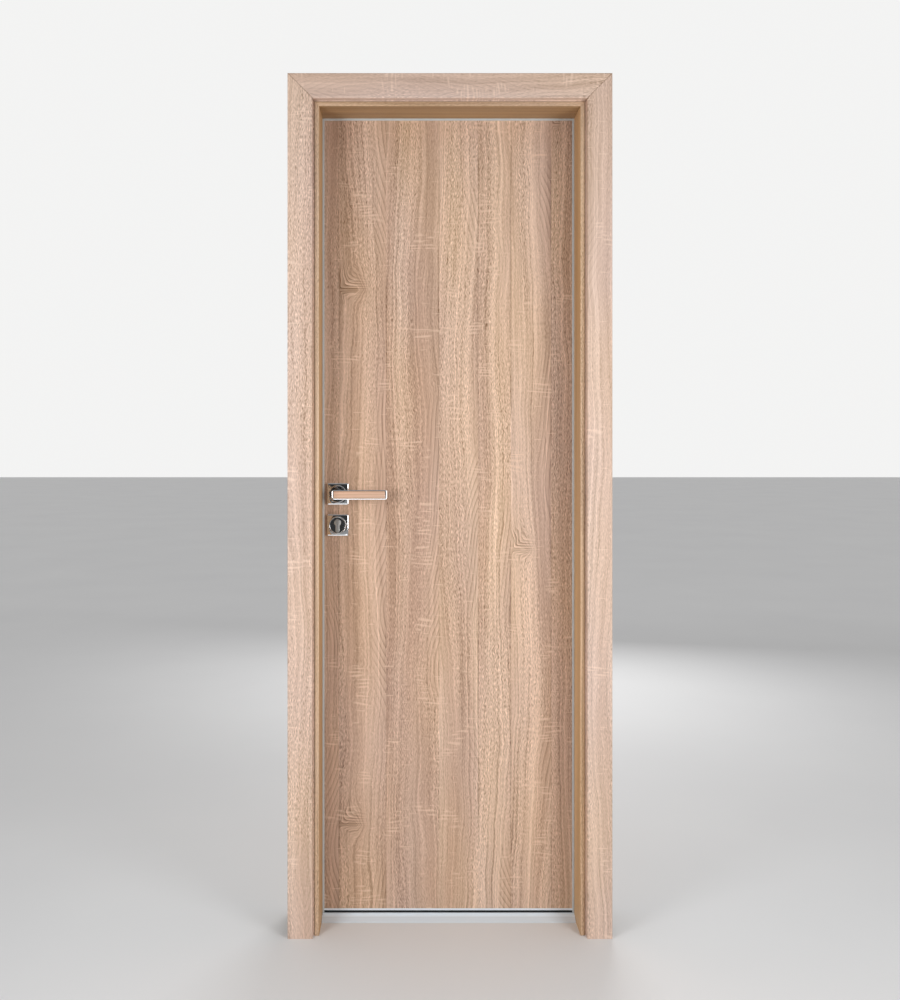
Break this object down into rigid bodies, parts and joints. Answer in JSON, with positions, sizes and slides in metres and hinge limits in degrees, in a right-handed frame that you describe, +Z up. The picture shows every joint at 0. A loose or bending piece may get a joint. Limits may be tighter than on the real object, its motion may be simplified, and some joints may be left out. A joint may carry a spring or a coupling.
{
  "type": "bathroom door",
  "caption": "Interior bathroom door set: flush woodgrain leaf in a deep lined frame with mitred architraves, square lever set with wood inlays, metal sill",
  "frame": {"origin": "on the floor under the threshold, in the middle of the clear opening, in the plane of the closed leaf's front face", "axes": "+X along the wall towards the hinge side, +Y through the wall towards the side that the leaf opens to, +Z up"},
  "size_m": [0.783, 0.208, 2.0765],
  "materials": {
    "frame_laminate": "woodgrain laminate, satin",
    "lining_laminate": "woodgrain laminate, satin",
    "leaf_laminate": "woodgrain laminate, satin",
    "raw_wood": "plain board and solid timber inside the leaf",
    "honeycomb": "paper honeycomb inside the leaf",
    "seal": "soft grey strip",
    "aluminium": "satin anodised",
    "chrome": "polished",
    "lock_metal": "satin nickel",
    "hinge_metal": "brushed",
    "inlay_wood": "pale wood, satin"
  },
  "bodies": {
    "frame": {"back_architrave_head": "frame_laminate", "back_architrave_left": "frame_laminate", "back_architrave_right": "frame_laminate", "front_architrave_head": "frame_laminate", "front_architrave_left": "frame_laminate", "front_architrave_right": "frame_laminate", "hinge_frame_1": "hinge_metal", "hinge_frame_2": "hinge_metal", "hinge_frame_3": "hinge_metal", "jamb_head": "lining_laminate", "jamb_left": "lining_laminate", "jamb_right": "lining_laminate", "rebate_head": "lining_laminate", "rebate_left": "lining_laminate", "rebate_right": "lining_laminate", "seal_head": "seal", "seal_left": "seal", "seal_right": "seal", "strike_plate": "lock_metal", "threshold": "aluminium"},
    "leaf": {"dead_bolt": "lock_metal", "escutcheon_back": "chrome", "escutcheon_front": "chrome", "hinge_leaf_1": "hinge_metal", "hinge_leaf_2": "hinge_metal", "hinge_leaf_3": "hinge_metal", "latch_bolt": "lock_metal", "leaf_back_skin": "leaf_laminate", "leaf_bottom_channel": "aluminium", "leaf_core": "honeycomb", "leaf_front_skin": "leaf_laminate", "leaf_lock_block": "raw_wood", "leaf_rail_bottom": "raw_wood", "leaf_rail_top": "raw_wood", "leaf_stile_hinge": "leaf_laminate", "leaf_stile_lock": "leaf_laminate", "lock_case": "lock_metal", "lock_cylinder": "lock_metal", "lock_faceplate": "lock_metal", "rosette_back": "chrome", "rosette_front": "chrome", "thumb_turn": "chrome"},
    "lever": {"lever_back": "chrome", "lever_front": "chrome", "lever_inlay_back": "inlay_wood", "lever_inlay_front": "inlay_wood", "spindle": "lock_metal"}
  },
  "joints": [
    {"name": "leaf_swing", "type": "hinge", "parent": "frame", "child": "leaf", "pos_m": [0.329, 0.047, 1], "axis": [0, 0, -1], "range_deg": [0, 110]},
    {"name": "lever_turn", "type": "hinge", "parent": "leaf", "child": "lever", "pos_m": [-0.277, 0.02, 1.06], "axis": [0, 1, 0], "range_deg": [0, 40], "stiffness_Nm_per_rad": 1.5, "springref_deg": -28.65}
  ]
}
